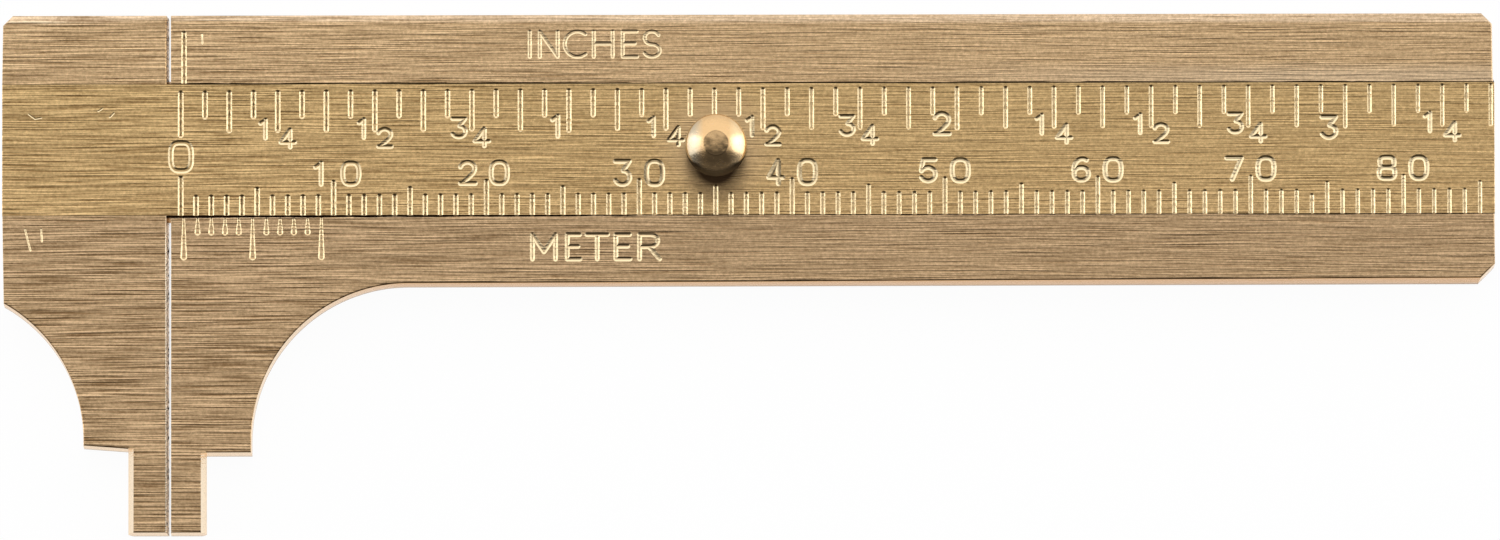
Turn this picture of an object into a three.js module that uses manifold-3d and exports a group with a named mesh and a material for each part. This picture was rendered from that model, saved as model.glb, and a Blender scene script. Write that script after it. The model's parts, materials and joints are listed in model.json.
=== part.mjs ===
// A pocket sliding caliper with a vernier, in brass. The scale bar slides in a dovetail channel that is
// milled along the frame; the head, which carries the moving jaw, is fixed to the bar's left end.
// Millimetres. +X runs along the beam away from the jaws, +Y away from the tips, +Z out of the marked face.
// The pieces are worked out from the fixed jaw's measuring face (x = 0), the bar's centre line (y = 0) and
// the back of the frame (z = 0), and the group then moves them to the middle of the whole outline.

import * as THREE from "three";
import { mergeVertices } from "three/addons/utils/BufferGeometryUtils.js";
import Module from "manifold-3d";

// Beam and channel
const thickness = 3.0;
const frameLength = 86.6;
const upperRail = 4.45;
const lowerRail = 4.4;
const upperCorner = 0.7;
const lowerCorner = 1.05;
const edgeEase = 0.2;

// Scale bar, flush with the frame's face
const barWidth = 8.6;
const barThickness = 1.85;
const dovetailSpread = 0.35;
const slideClearance = 0.075;
const floorClearance = 0.15;
const holdLength = 6.6; // bar left in the frame when it is pulled right out

// Head and jaws
const restGap = 0.2;
const headWidth = 10.85;
const headCorner = 0.65;
const jawLength = 16.36; // from the beam's lower edge to the tips' ends
const jawArc = 10.25; // the arc from the beam's lower edge down to each jaw's straight side
const fixedJawWidth = 5.27;
const movingJawWidth = 5.55;
const fixedJawStraight = 0.88; // straight side between the arc and the shoulder
const movingJawStraight = 0.48;
const fixedTipWidth = 2.35;
const movingTipWidth = 2.62;
const tipBulge = 0.42; // rise of a tip's rounded outer side, for measuring inside a bore

// Engraved scales
const scaleZero = 0.56; // from the measuring face to the bar's zero marks
const millimetre = 1.0;
const inch = 25.4;
const markWidth = 0.34;
const markDepth = 0.12;
const mmMark = 1.45;
const mmMarkFive = 1.95;
const mmMarkTen = 2.45;
const mmMarkZero = 2.7;
const inchMargin = 0.4; // clear strip between the inch marks and the bar's upper edge
const sixteenthMark = 1.55;
const eighthMark = 2.4;
const halfMark = 2.6;
const inchMarkZero = 3.2;
const inchParts = 16;
const vernierParts = 10;
const vernierStepShare = 0.9; // of a millimetre division
const vernierLongShare = 0.61; // of the lower rail
const vernierShortShare = 0.24;
const indexMarkShare = 0.76; // of the upper rail

// Thumb knob: a turned ball on a neck, with a shank riveted through the bar
const knobPlace = 35.1; // from the bar's zero marks
const knobRadius = 2.03;
const knobHeight = 2.5; // ball's centre above the bar's face
const knobFacetRadius = 0.8;
const knobNeckRadius = 1.1;
const knobCollarRadius = 1.5;
const knobCollarHeight = 0.3;
const knobShankRadius = 0.8;

// Pins that hold the bar in the head, entered from the back
const headPinRadius = 0.75;
const headPinInset = 5.4; // from the head's left side
const headPinGrip = 1.0; // length inside the bar
const headPinSpreadShare = 0.26; // of the bar's width, each side of its centre line
const pinClearance = 0.02;

// Stop pin under the bar, and its groove in the channel's floor
const stopPinRadius = 0.5;
const stopPinInset = 1.6; // from the bar's right end
const stopPinGrip = 1.0;
const stopPinDrop = 0.5; // length below the bar
const stopPinPlaceShare = 0.26; // of the bar's width, above its centre line
const stopGrooveClearance = 0.12;

// Leaf spring that drags on the bar's underside
const springThickness = 0.15;
const springWidth = 2.6;
const springPocketDepth = 0.45;
const springLengthShare = 0.74; // of the bar left in the frame
const springPlaceShare = 0.16; // of the bar's width, below its centre line
const springClearance = 0.02;
const springSideClearance = 0.15;

// One overrun serves every cut that has to pass through a face
const overrun = 0.5;
const arcSteps = 28;
const roundSides = 32;
const ballSteps = 12;
const tipSteps = 8;
const springSteps = 10;

// Places that follow from the sizes
const face = thickness;
const barBase = face - barThickness;
const channelFloor = barBase - floorClearance;
const channelHalf = barWidth / 2 + slideClearance;
const topEdge = channelHalf + upperRail;
const lowerEdge = -channelHalf - lowerRail;
const arcEnd = lowerEdge - jawArc;
const fixedShoulder = arcEnd - fixedJawStraight;
const movingShoulder = arcEnd - movingJawStraight;
const tipEnd = lowerEdge - jawLength;
const headRight = -restGap;
const headLeft = headRight - headWidth;
const travel = frameLength - holdLength;
const vernierZero = scaleZero + restGap;
const dovetailSlope = dovetailSpread / barThickness;

const wasm = await Module();
wasm.setup();

// A closed three.js geometry as a solid that can be joined and cut.
function solid(geometry) {
  const bare = geometry.clone();
  bare.deleteAttribute("normal");
  bare.deleteAttribute("uv");
  const merged = mergeVertices(bare);
  const vertProperties = new Float32Array(merged.attributes.position.array);
  const triVerts = new Uint32Array(merged.index.array);
  return new wasm.Manifold(new wasm.Mesh({ numProp: 3, vertProperties, triVerts }));
}

// A finished solid as a named mesh with its own material.
function piece(name, made, colour, roughness) {
  const data = made.getMesh();
  const geometry = new THREE.BufferGeometry();
  geometry.setAttribute("position", new THREE.BufferAttribute(data.vertProperties, 3));
  geometry.setIndex(new THREE.BufferAttribute(data.triVerts, 1));
  geometry.computeVertexNormals();
  const material = new THREE.MeshStandardMaterial({ color: colour, roughness, metalness: 1 });
  material.flatShading = true;
  const mesh = new THREE.Mesh(geometry, material);
  mesh.name = name;
  return mesh;
}

function box(x0, x1, y0, y1, z0, z1) {
  const geometry = new THREE.BoxGeometry(x1 - x0, y1 - y0, z1 - z0);
  return solid(geometry.translate((x0 + x1) / 2, (y0 + y1) / 2, (z0 + z1) / 2));
}

// An outline of [x, y] points, as thick as the frame, with its face and back edges eased.
function easedPlate(outline) {
  const shape = new THREE.Shape(outline.map(([x, y]) => new THREE.Vector2(x, y)));
  const geometry = new THREE.ExtrudeGeometry(shape, {
    depth: thickness - 2 * edgeEase,
    bevelThickness: edgeEase,
    bevelSize: edgeEase,
    bevelOffset: -edgeEase,
    bevelSegments: 1,
  });
  return solid(geometry.translate(0, 0, edgeEase));
}

// A prism along X whose section is a list of [y, z] points.
function alongX(section, x0, x1) {
  const shape = new THREE.Shape(section.map(([y, z]) => new THREE.Vector2(y, z)));
  const geometry = new THREE.ExtrudeGeometry(shape, { depth: x1 - x0, bevelEnabled: false });
  const turn = new THREE.Matrix4().makeBasis(
    new THREE.Vector3(0, 1, 0),
    new THREE.Vector3(0, 0, 1),
    new THREE.Vector3(1, 0, 0),
  );
  return solid(geometry.applyMatrix4(turn).translate(x0, 0, 0));
}

// A prism along Y whose section is a list of [x, z] points.
function alongY(section, y0, y1) {
  const shape = new THREE.Shape(section.map(([x, z]) => new THREE.Vector2(x, -z)));
  const geometry = new THREE.ExtrudeGeometry(shape, { depth: y1 - y0, bevelEnabled: false });
  return solid(geometry.rotateX(-Math.PI / 2).translate(0, y0, 0));
}

function cylinder(radius, x, y, z0, z1) {
  const geometry = new THREE.CylinderGeometry(radius, radius, z1 - z0, roundSides);
  return solid(geometry.rotateX(Math.PI / 2).translate(x, y, (z0 + z1) / 2));
}

// Points of an arc about [cx, cy] from one angle to another, both ends included.
function arc(cx, cy, radius, from, to) {
  return Array.from({ length: arcSteps + 1 }, (_, i) => {
    const angle = from + ((to - from) * i) / arcSteps;
    return [cx + radius * Math.cos(angle), cy + radius * Math.sin(angle)];
  });
}

// The bar's dovetail section, widened by a clearance and carried down to a floor.
function dovetail(clearance, floor, top) {
  const half = barWidth / 2 + clearance;
  const baseHalf = half + (face - floor) * dovetailSlope;
  return [
    [-baseHalf, floor],
    [baseHalf, floor],
    [half, face],
    [half, top],
    [-half, top],
    [-half, face],
  ];
}

// The space a jaw may fill: all of it above the shoulder, and below it a tip whose outer side is round.
function jawSpace(inner, outerSign, tipWidth, shoulder, reach) {
  const tip = Array.from({ length: tipSteps + 1 }, (_, i) => {
    const share = i / tipSteps;
    const sag = tipBulge * (2 * share - 1) ** 2;
    return [inner + outerSign * (tipWidth - sag), thickness * share];
  });
  const section = [[inner, 0], ...tip, [inner, thickness]];
  const farSide = inner + outerSign * reach;
  const body = box(
    Math.min(inner, farSide),
    Math.max(inner, farSide),
    shoulder,
    topEdge + overrun,
    -overrun,
    thickness + overrun,
  );
  return body.add(alongY(outerSign > 0 ? section.reverse() : section, tipEnd - overrun, shoulder));
}

// A straight V groove in the face, between two places along Y.
function mark(x, y0, y1) {
  const topHalf = (markWidth / 2) * (1 + overrun / markDepth);
  const section = [
    [x + topHalf, face + overrun],
    [x, face - markDepth],
    [x - topHalf, face + overrun],
  ];
  return alongY(section, y0, y1);
}

function joined(solids) {
  return solids.reduce((all, one) => all.add(one));
}

function millimetreMarks() {
  const last = Math.floor((frameLength - scaleZero - markWidth / 2) / millimetre);
  return Array.from({ length: last + 1 }, (_, n) => {
    const tens = n === 0 ? mmMarkZero : mmMarkTen;
    const length = n % 10 === 0 ? tens : n % 5 === 0 ? mmMarkFive : mmMark;
    return mark(scaleZero + n * millimetre, -barWidth / 2 - overrun, -barWidth / 2 + length);
  });
}

function inchMarks() {
  const step = inch / inchParts;
  const last = Math.floor((frameLength - scaleZero - markWidth / 2) / step);
  const start = barWidth / 2 - inchMargin;
  return Array.from({ length: last + 1 }, (_, n) => {
    const halves = n === 0 ? inchMarkZero : halfMark;
    const length = n % 8 === 0 ? halves : n % 2 === 0 ? eighthMark : sixteenthMark;
    return mark(scaleZero + n * step, start - length, start);
  });
}

function vernierMarks() {
  const step = millimetre * vernierStepShare;
  return Array.from({ length: vernierParts + 1 }, (_, n) => {
    const length = lowerRail * (n % 5 === 0 ? vernierLongShare : vernierShortShare);
    return mark(vernierZero + n * step, -channelHalf - length, -channelHalf + overrun);
  });
}

function frameOutline() {
  const arcX = fixedJawWidth + jawArc;
  return [
    [-overrun, tipEnd],
    [fixedTipWidth, tipEnd],
    [fixedTipWidth, fixedShoulder],
    [fixedJawWidth, fixedShoulder],
    ...arc(arcX, arcEnd, jawArc, Math.PI, Math.PI / 2),
    [frameLength - lowerCorner, lowerEdge],
    [frameLength, lowerEdge + lowerCorner],
    [frameLength, topEdge - upperCorner],
    [frameLength - upperCorner, topEdge],
    [-overrun, topEdge],
  ];
}

function headOutline() {
  const arcX = headRight - movingJawWidth - jawArc;
  const cutAngle = Math.acos((headLeft - arcX) / jawArc);
  return [
    [headRight + overrun, topEdge],
    [headLeft + headCorner, topEdge],
    [headLeft, topEdge - headCorner],
    ...arc(arcX, arcEnd, jawArc, cutAngle, 0),
    [headRight - movingJawWidth, movingShoulder],
    [headRight - movingTipWidth, movingShoulder],
    [headRight - movingTipWidth, tipEnd],
    [headRight + overrun, tipEnd],
  ];
}

// Where the stop pin stands at rest, and the groove that ends its travel.
const stopPinX = frameLength - stopPinInset;
const stopPinY = barWidth * stopPinPlaceShare;

function stopGroove() {
  const half = stopPinRadius + stopGrooveClearance;
  const end = stopPinX - travel;
  const floor = barBase - stopPinDrop - stopGrooveClearance;
  const slot = box(end, frameLength + overrun, stopPinY - half, stopPinY + half, floor, face);
  return slot.add(cylinder(half, end, stopPinY, floor, face));
}

// The spring lies where the bar covers it at every opening.
const springX = holdLength / 2;
const springY = -barWidth * springPlaceShare;
const springLength = holdLength * springLengthShare;

function springPocket() {
  const halfLength = springLength / 2 + springSideClearance;
  const halfWidth = springWidth / 2 + springSideClearance;
  return box(
    springX - halfLength,
    springX + halfLength,
    springY - halfWidth,
    springY + halfWidth,
    channelFloor - springPocketDepth,
    face,
  );
}

function makeFrame() {
  const space = jawSpace(0, 1, fixedTipWidth, fixedShoulder, frameLength + overrun);
  const channel = alongX(dovetail(slideClearance, channelFloor, face + overrun), -overrun, frameLength + overrun);
  const indexLength = upperRail * indexMarkShare;
  const index = mark(vernierZero, channelHalf - overrun, channelHalf + indexLength);
  return easedPlate(frameOutline())
    .intersect(space)
    .subtract(channel)
    .subtract(stopGroove())
    .subtract(springPocket())
    .subtract(joined(vernierMarks()))
    .subtract(index);
}

const knobX = scaleZero + knobPlace;
const headPinX = headLeft + headPinInset;
const headPinY = barWidth * headPinSpreadShare;
const headPinPlaces = [
  [headPinX, headPinY],
  [headPinX, -headPinY],
];

function makeBar() {
  const blank = alongX(dovetail(0, barBase, face), headLeft, frameLength);
  const reach = barWidth + overrun;
  const ends = easedPlate([
    [headLeft, -reach],
    [frameLength, -reach],
    [frameLength, reach],
    [headLeft, reach],
  ]);
  const shankHole = cylinder(knobShankRadius + pinClearance, knobX, 0, barBase - overrun, face + overrun);
  const stopHole = cylinder(
    stopPinRadius + pinClearance,
    stopPinX,
    stopPinY,
    barBase - overrun,
    barBase + stopPinGrip,
  );
  const pinHoles = headPinPlaces.map(([x, y]) =>
    cylinder(headPinRadius + pinClearance, x, y, barBase - overrun, barBase + headPinGrip),
  );
  return blank
    .intersect(ends)
    .subtract(joined([...millimetreMarks(), ...inchMarks()]))
    .subtract(shankHole)
    .subtract(stopHole)
    .subtract(joined(pinHoles));
}

function makeHead() {
  const space = jawSpace(headRight, -1, movingTipWidth, movingShoulder, headWidth + overrun);
  const seat = alongX(dovetail(0, barBase, face + overrun), headLeft - overrun, headRight + overrun);
  const pinHoles = headPinPlaces.map(([x, y]) =>
    cylinder(headPinRadius + pinClearance, x, y, -overrun, face),
  );
  return easedPlate(headOutline()).intersect(space).subtract(seat).subtract(joined(pinHoles));
}

// The knob's turned profile, from the shank's end up to the ball's flat top.
function makeKnob() {
  const centre = face + knobHeight;
  const neckAngle = -Math.acos(knobNeckRadius / knobRadius);
  const facetAngle = Math.acos(knobFacetRadius / knobRadius);
  const ball = Array.from({ length: ballSteps + 1 }, (_, i) => {
    const angle = neckAngle + ((facetAngle - neckAngle) * i) / ballSteps;
    return [knobRadius * Math.cos(angle), centre + knobRadius * Math.sin(angle)];
  });
  const profile = [
    [0, barBase],
    [knobShankRadius, barBase],
    [knobShankRadius, face],
    [knobCollarRadius, face],
    [knobCollarRadius, face + knobCollarHeight],
    [knobNeckRadius, face + knobCollarHeight],
    ...ball,
    [0, centre + Math.sqrt(knobRadius ** 2 - knobFacetRadius ** 2)],
  ];
  const points = profile.map(([r, z]) => new THREE.Vector2(r, z));
  const geometry = new THREE.LatheGeometry(points, roundSides);
  return solid(geometry.rotateX(Math.PI / 2).translate(knobX, 0, 0));
}

// A leaf bowed up from the pocket's floor until its crest meets the bar's underside.
function makeSpring() {
  const low = channelFloor - springPocketDepth;
  const bow = barBase - springClearance - springThickness - low;
  const under = Array.from({ length: springSteps + 1 }, (_, i) => {
    const share = i / springSteps;
    return [springX + springLength * (share - 1 / 2), low + bow * (1 - (2 * share - 1) ** 2)];
  });
  const over = under.map(([x, z]) => [x, z + springThickness]).reverse();
  return alongY([...over, ...under].reverse(), springY - springWidth / 2, springY + springWidth / 2);
}

const frameBrass = 0xb59a72;
const barBrass = 0xb39461;
const knobBrass = 0xb98d55;
const pinBrass = 0xa98a58;
const springBrass = 0xa0854f;

const caliper = new THREE.Group();
caliper.add(piece("frame_body", makeFrame(), frameBrass, 0.42));

// Everything that slides is one group: the bar with its head, pins and knob.
const slide = new THREE.Group();
slide.add(piece("slide_bar", makeBar(), barBrass, 0.4));
slide.add(piece("slide_head", makeHead(), frameBrass, 0.42));
slide.add(piece("thumb_knob", makeKnob(), knobBrass, 0.22));
headPinPlaces.forEach(([x, y], i) => {
  const pin = cylinder(headPinRadius, x, y, 0, barBase + headPinGrip);
  slide.add(piece(i === 0 ? "head_pin_upper" : "head_pin_lower", pin, pinBrass, 0.5));
});
const stopPin = cylinder(stopPinRadius, stopPinX, stopPinY, barBase - stopPinDrop, barBase + stopPinGrip);
slide.add(piece("stop_pin", stopPin, pinBrass, 0.5));
caliper.add(slide);

caliper.add(piece("friction_spring", makeSpring(), springBrass, 0.35));

// The origin is the middle of the whole outline, on the surface that the caliper lies on.
caliper.position.set(-(headLeft + frameLength) / 2, -(topEdge + tipEnd) / 2, 0);

export default caliper;
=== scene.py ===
"""A pocket sliding caliper in brushed brass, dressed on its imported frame.

Shapes are worked out in millimetres from the fixed jaw's measuring face (x = 0), the bar's centre line
(y = 0) and the back of the frame (z = 0), and are moved into the frame's own place in metres at the end.
"""

import functools
import json
import math

import bmesh
import bpy
import mathutils
import numpy as np
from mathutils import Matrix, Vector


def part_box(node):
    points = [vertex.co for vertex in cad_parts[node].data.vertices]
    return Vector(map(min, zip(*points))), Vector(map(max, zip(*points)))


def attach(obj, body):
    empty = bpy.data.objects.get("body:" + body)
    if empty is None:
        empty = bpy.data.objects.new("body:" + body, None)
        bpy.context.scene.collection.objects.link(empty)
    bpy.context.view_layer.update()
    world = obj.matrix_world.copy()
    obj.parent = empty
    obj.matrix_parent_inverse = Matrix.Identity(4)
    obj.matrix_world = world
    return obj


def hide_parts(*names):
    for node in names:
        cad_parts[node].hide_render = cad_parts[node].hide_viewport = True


bl_info = {
    "name": "Pocket sliding caliper",
    "version": (1, 0, 0),
    "blender": (4, 5, 0),
    "location": "View3D > Sidebar > Caliper",
    "description": "Builds a small brass sliding caliper with its scales, vernier, knob and stage",
    "category": "Object",
}

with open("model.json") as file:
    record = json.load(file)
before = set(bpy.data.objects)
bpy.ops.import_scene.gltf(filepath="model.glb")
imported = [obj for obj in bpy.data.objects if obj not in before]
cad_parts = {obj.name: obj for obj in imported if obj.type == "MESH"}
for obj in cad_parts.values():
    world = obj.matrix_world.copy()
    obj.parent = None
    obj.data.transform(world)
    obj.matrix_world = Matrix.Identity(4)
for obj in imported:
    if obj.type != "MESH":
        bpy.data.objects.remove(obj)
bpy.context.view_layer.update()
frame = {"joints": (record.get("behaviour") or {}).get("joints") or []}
MM = 0.001
SHARP_ANGLE = math.radians(28)
LETTER_HEIGHT = 1.93


def box_of(node, zero=(0, 0, 0)):
    """A node's lower and upper corner, in millimetres from the frame's own zero or from another one."""
    return [np.array(corner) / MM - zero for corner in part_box(node)]


(MEASURING_FACE, _, BACK), _ = box_of("frame_body")
(_, BAR_LOW, _), (_, BAR_HIGH, _) = box_of("slide_bar")
ORIGIN = np.array([MEASURING_FACE, (BAR_LOW + BAR_HIGH) / 2, BACK])
(_, TIP_END, _), (LENGTH, TOP_EDGE, FACE) = box_of("frame_body", ORIGIN)
(HEAD_LEFT, _, _), (HEAD_RIGHT, _, _) = box_of("slide_head", ORIGIN)
(_, _, BAR_BASE), (_, BAR_BASE_HALF, _) = box_of("slide_bar", ORIGIN)
KNOB_LOW, KNOB_HIGH = box_of("thumb_knob", ORIGIN)
KNOB_CENTRE = (KNOB_LOW + KNOB_HIGH) / 2

# The photograph in pixels: its size, where the measuring face and the bar's centre line lie, and its scale.
PHOTO_WIDTH, PHOTO_HEIGHT = 1500, 540
FACE_PIXEL, BAR_PIXEL, PIXELS_PER_MM = 171.0, 148.7, 15.29


def length(label, millimetres, description):
    """A length property, shown in the scene's units, whose default is given in millimetres."""
    return bpy.props.FloatProperty(
        name=label,
        description=description,
        default=millimetres * MM,
        unit="LENGTH",
        precision=5,
    )


def share(label, value, description):
    """A plain share between nought and one."""
    return bpy.props.FloatProperty(name=label, description=description, default=value, subtype="FACTOR")


def to_linear(code):
    """An sRGB hex value as linear red, green, blue and one: each channel c below 0.04045 is c / 12.92, and
    above it ((c + 0.055) / 1.055) to the power 2.4."""
    channels = np.array([int(code[i : i + 2], 16) for i in (1, 3, 5)]) / 255
    low = channels / 12.92
    high = ((channels + 0.055) / 1.055) ** 2.4
    return [*np.where(channels <= 0.04045, low, high).tolist(), 1.0]


def colour(label, code, description):
    """A colour property whose default is an sRGB hex value."""
    return bpy.props.FloatVectorProperty(
        name=label,
        description=description,
        default=to_linear(code),
        size=4,
        subtype="COLOR",
        min=0,
        max=1,
    )


class CaliperSizes(bpy.types.PropertyGroup):
    """Sizes of the caliper that the frame's boxes don't give."""

    rail_low: length("Lower rail", 4.475, "From the bar's marked face to the beam's lower edge")
    low_slant: length("Lower edge slant", 0.045, "Fall of the lower edge at the jaws, and rise at its end")
    jaw_arc: length("Jaw arc", 10.25, "Radius of the arc from the beam down to each jaw")
    fixed_jaw: length("Fixed jaw", 5.27, "Width of the fixed jaw at its shoulder")
    moving_jaw: length("Moving jaw", 5.55, "Width of the moving jaw at its shoulder")
    fixed_straight: length("Fixed jaw's straight", 0.84, "Straight edge from arc to fixed shoulder")
    moving_straight: length("Moving jaw's straight", 0.38, "Straight edge from arc to moving shoulder")
    shoulder_fall: length("Shoulder fall", 0.22, "How far the moving jaw's shoulder falls towards its tip")
    fixed_tip: length("Fixed tip", 2.32, "Width of the fixed jaw's tip")
    moving_tip: length("Moving tip", 2.62, "Width of the moving jaw's tip")
    tip_bulge: length("Tip bulge", 0.37, "Rise of a tip's rounded outer side")
    corner_head: length("Head corner", 0.65, "Corner cut at the head's upper left")
    corner_top: length("Upper corner", 0.7, "Corner cut at the beam's upper right")
    corner_low: length("Lower corner", 1.05, "Corner cut at the beam's lower right")
    soft_edge: length("Worn edge", 0.6, "How far the upper edge's wear reaches over the face")
    crisp_edge: length("Crisp edge", 0.11, "Rounding of the edges that stayed sharp")
    lean_left: length("Wall lean, left", 0.03, "How far the lower wall leans in at the jaws")
    lean_right: length("Wall lean, right", 0.165, "How far the lower wall leans in at the far end")
    bar_width: length("Bar face", 8.6, "Width of the bar across its marked face")
    play_top: length("Upper play", 0.06, "Gap between the bar and the upper rail")
    play_left: length("Lower play, left", 0.16, "Gap between the bar and the lower rail at the jaws")
    play_right: length("Lower play, right", 0.04, "Gap between the bar and the lower rail at the far end")
    floor_play: length("Floor play", 0.15, "Gap under the bar")


class CaliperMarks(bpy.types.PropertyGroup):
    """Places and sizes of the engraved scales, numerals and words."""

    scale_zero: length("Scale zero", 0.635, "From the measuring face to the bar's zero marks")
    millimetre: length("Millimetre", 1.0, "One division of the lower scale")
    sixteenth: length("Sixteenth", 25.4 / 16, "One division of the upper scale")
    stroke_left: length("Mark width, left", 0.37, "Width of the bar's marks near the jaws")
    stroke_right: length("Mark width, right", 0.27, "Width of the bar's marks at the far end")
    numeral_stroke: length("Numeral stroke", 0.34, "Width of a numeral's stroke")
    word_stroke: length("Word stroke", 0.27, "Width of a letter's stroke")
    flank: length("Flank", 0.15, "How far a mark's sloping side runs in, in a wide mark")
    steepness: share("Steepness", 0.78, "Fall of a mark's side for each step inwards")
    drift: share("Drift", 0.0036, "Rise of the whole engraving along the bar, as it was stamped askew")
    vernier_step: length("Vernier step", 0.9, "One division of the vernier")


class CaliperFinish(bpy.types.PropertyGroup):
    """Colours of the brass and of the stage."""

    frame_brass: colour("Frame brass", "#CEAD82", "Brushed brass of the frame and head")
    bar_brass: colour("Bar brass", "#CAA975", "Brushed brass of the scale bar")
    clean_brass: colour("Cut brass", "#D4C09A", "Clean metal on the sides of the marks")
    wall_brass: colour("Sheared brass", "#D2A56E", "Walls across the grain's direction")
    # Painted highlight: the near-white cream laid on walls and edges that face the lamps and on a band of the
    # upper rail.
    end_brass: colour("Filed brass", "#FFF1DA", "Walls at the ends of the grain")
    knob_brass: colour("Knob brass", "#DDB785", "Polished brass of the knob")
    pin_brass: colour("Pin brass", "#B08F5A", "Filed brass of the pins")
    # Also the colour of the painted shade between the jaws and of the painted shadow round the knob.
    grime: colour("Grime", "#38281A", "Old polish and dirt in the marks and joints")
    spring_brass: colour("Spring brass", "#A9894F", "Rolled brass of the leaf spring")
    floor_white: colour("Floor", "#FFFFFF", "White of the floor and the room")


def millimetres(group):
    """A property group's values as plain numbers, with lengths in millimetres."""
    values = {}
    for name in group.__annotations__:
        value = getattr(group, name)
        if group.bl_rna.properties[name].unit == "LENGTH":
            value = value / MM
        values[name] = value
    return type("Values", (), values)


# Surfaces


def bow(cx, cy, rx, ry, start, end, steps=14):
    """A stretch of an ellipse or circle: the centre plus (rx cos t, ry sin t), with t in degrees."""
    angle = np.radians(np.linspace(start, end, steps + 1))
    return np.column_stack((cx + rx * np.cos(angle), cy + ry * np.sin(angle)))


def loop(cx, cy, rx, ry, squareness=2.5, steps=36):
    """A closed rounded oval: |x / rx| and |y / ry| to the power of its squareness add up to one."""
    angle = np.linspace(0, 2 * math.pi, steps, endpoint=False)
    c, s = np.cos(angle), np.sin(angle)
    power = 2 / squareness
    x = cx + rx * np.sign(c) * np.abs(c) ** power
    y = cy + ry * np.sign(s) * np.abs(s) ** power
    return np.column_stack((x, y))


def inset_directions(outline, reach):
    """How each point of a closed anticlockwise outline moves inwards.

    Edge i runs from point i to point i + 1 and moves along its inward normal by reach[i]. A point moves to
    where its two moved edges cross: the offset m solves m . n1 = r1 and m . n2 = r2, and along a smooth
    stretch, where the normals are all but parallel, it is the mean of the two moves.
    """
    step = np.roll(outline, -1, axis=0) - outline
    step /= np.linalg.norm(step, axis=1)[:, None]
    normal = np.column_stack((-step[:, 1], step[:, 0]))
    before, r1 = np.roll(normal, 1, axis=0), np.roll(reach, 1)
    after, r2 = normal, reach
    cross = before[:, 0] * after[:, 1] - before[:, 1] * after[:, 0]
    all_but_parallel = 0.02
    flat = np.abs(cross) < all_but_parallel
    safe = np.where(flat, 1, cross)
    solved = np.column_stack((r1 * after[:, 1] - r2 * before[:, 1], r2 * before[:, 0] - r1 * after[:, 0]))
    solved /= safe[:, None]
    mean = (before * r1[:, None] + after * r2[:, None]) / 2
    return np.where(flat[:, None], mean, solved)


def plate(rows, steps=7):
    """A plate as thick as the frame, from one row for each edge of its back: the edge's start (x, y),
    how far its wall leans in on the way up, and how far its rounding reaches over the face.

    The wall's top is the outline moved in by its lean. From there the face's edge is a quarter of an
    ellipse: at t from 0 to 90 degrees it has moved in by reach (1 - cos t) and lies drop (1 - sin t)
    below the face, where the drop is 0.8 of the reach but no more than 0.1 mm. The back's edge is the
    same, with no lean.
    """
    outline, lean, reach = rows[:, :2], rows[:, 2], rows[:, 3]
    leans = inset_directions(outline, lean)
    moves = inset_directions(outline, reach)
    drops = np.minimum(0.8 * np.maximum(reach, np.roll(reach, 1)), 0.1)
    rings = []
    for face in (0, 1):
        turn = np.linspace(0, math.pi / 2, steps)
        for t in turn if face else turn[::-1]:
            below = drops * (1 - math.sin(t))
            height = FACE - below if face else below
            rings.append(np.column_stack((outline + leans * face + moves * (1 - math.cos(t)), height)))
    return loft(rings)


def loft(rings, closed=False):
    """Rings of equal length, one after another, joined by quads. Ring i, point j joins ring i + 1,
    point j + 1. The first and last ring are filled, or joined to each other if closed."""
    count, size = len(rings), len(rings[0])
    points = np.concatenate(rings)
    i, j = np.meshgrid(np.arange(count if closed else count - 1), np.arange(size), indexing="ij")
    here, beside = i * size + j, i * size + (j + 1) % size
    above = (here + size) % (count * size)
    above_beside = (beside + size) % (count * size)
    faces = np.stack((here, beside, above_beside, above), axis=-1).reshape(-1, 4).tolist()
    if not closed:
        faces.append(list(range(size))[::-1])
        faces.append(list(range((count - 1) * size, count * size)))
    return points, faces


def groove(path, width, closed=False, flank=None, steepness=None, cap_steps=3):
    """The cutter of an engraved line: a profile with four corners carried along a path.

    The profile is width across at the face. Each side runs in by the flank, or by 0.42 of the width
    where that is less, and falls by that run times the steepness to a flat bottom; above the face it
    goes on outwards. At an open end the profile turns a half circle: at angle t it has moved on by r
    sin t and its half width is r cos t, for each corner's own half width r, and t ends at 80 degrees.
    """
    marks = millimetres(bpy.context.scene.caliper_marks)
    path = np.asarray(path, dtype=float)
    half = np.broadcast_to(np.asarray(width, dtype=float), len(path)) / 2
    ahead = np.roll(path, -1, axis=0) - np.roll(path, 1, axis=0) if closed else np.gradient(path, axis=0)
    ahead /= np.linalg.norm(ahead, axis=1)[:, None]
    along, lean = np.zeros(len(path)), np.ones(len(path))
    if not closed:
        turn = np.radians(np.linspace(0, 80, cap_steps + 1))[1:]
        count = len(path)
        ends = np.clip(np.arange(-cap_steps, count + cap_steps), 0, count - 1)
        path, ahead, half = path[ends], ahead[ends], half[ends]
        along = np.concatenate((-np.sin(turn[::-1]), along, np.sin(turn)))
        lean = np.concatenate((np.cos(turn[::-1]), lean, np.cos(turn)))
    side = np.column_stack((-ahead[:, 1], ahead[:, 0]))
    run = np.minimum(flank or marks.flank, 0.84 * half)
    fall = steepness or marks.steepness
    corners, above = [], 0.06
    for sign, outward in ((-1, above), (1, above), (1, -run), (-1, -run)):
        reach = half + outward
        place = path + ahead * (along * reach)[:, None] + side * (sign * lean * reach)[:, None]
        corners.append(np.column_stack((place, np.broadcast_to(FACE + outward * fall, len(path)))))
    return loft(list(np.stack(corners, axis=1)), closed)


def joined(solids):
    """Several (points, faces) as one, side by side."""
    points, faces, start = [], [], 0
    for some, theirs in solids:
        points.append(some)
        faces += [[start + index for index in face] for face in theirs]
        start += len(some)
    return np.concatenate(points), faces


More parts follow.
